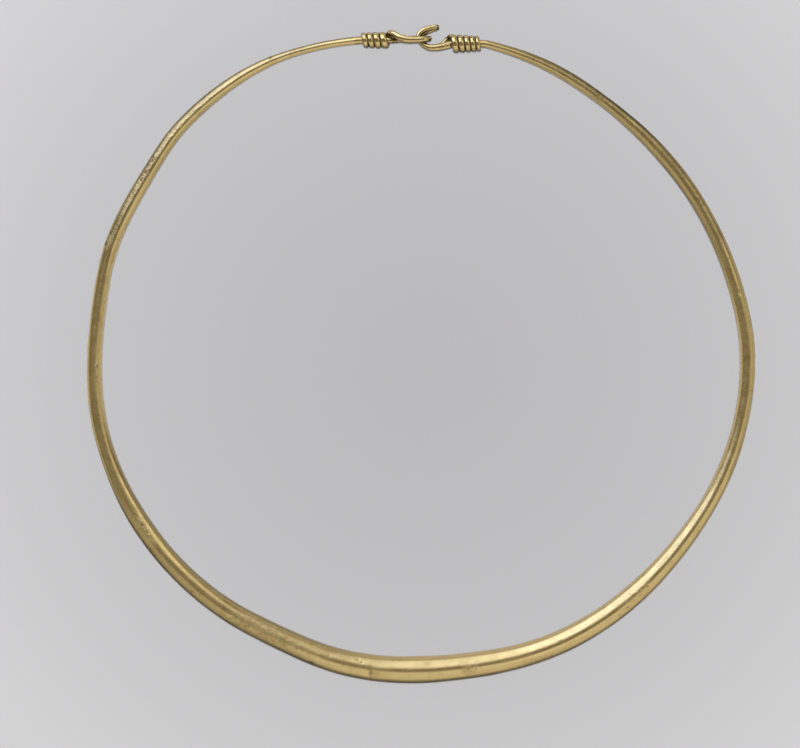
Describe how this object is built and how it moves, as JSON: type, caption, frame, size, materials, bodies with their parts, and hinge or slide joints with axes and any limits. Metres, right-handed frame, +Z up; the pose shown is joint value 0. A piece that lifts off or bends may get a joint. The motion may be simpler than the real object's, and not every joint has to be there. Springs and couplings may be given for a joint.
{
  "type": "neck ring",
  "caption": "Solid gold neck ring made from one tapering bar, closed by a wire-wrapped eye and a pinched double-wire hook.",
  "frame": {"origin": "middle of the ground that the ring covers, on the table it lies on", "axes": "+X to the hook's side, +Y from the thick front to the closure, +Z up, square to the plane of the ring"},
  "size_m": [0.2314, 0.2278, 0.0091],
  "materials": {
    "gold": "worn, softly polished gold"
  },
  "bodies": {
    "root": {"torc": "gold"}
  },
  "joints": []
}
